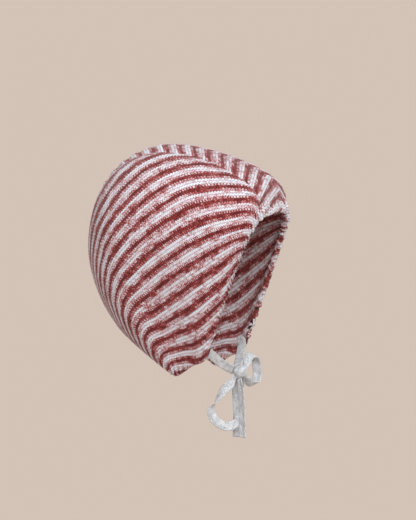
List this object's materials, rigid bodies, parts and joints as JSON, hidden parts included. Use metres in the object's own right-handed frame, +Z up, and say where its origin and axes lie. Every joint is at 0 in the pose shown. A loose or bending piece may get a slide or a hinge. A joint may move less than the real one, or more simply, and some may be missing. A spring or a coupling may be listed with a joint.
{
  "type": "baby bonnet",
  "caption": "Knitted baby bonnet with two side panels, a centre band from brim to nape, and tape ties knotted in a bow under the chin.",
  "frame": {"origin": "top of the hollow, where the crown of the head meets the inside of the knit, on the middle line", "axes": "+Z up, -Y towards the face, +X towards the wearer's left"},
  "size_m": [0.1332, 0.1486, 0.2277],
  "materials": {
    "knit_panel": "wool jersey in red and off-white stripes, slightly fuzzy",
    "knit_band": "wool jersey with stripes running across it",
    "tape": "soft flat tape, heather grey, fine rib"
  },
  "bodies": {
    "root": {"centre_band": "knit_band", "side_panel_right": "knit_panel", "side_panel_left": "knit_panel", "tie_strap_right": "tape", "tie_strap_left": "tape", "bow_knot": "tape", "bow_loop_right": "tape", "bow_loop_left": "tape", "tie_tail_right": "tape", "tie_tail_left": "tape"}
  },
  "joints": []
}
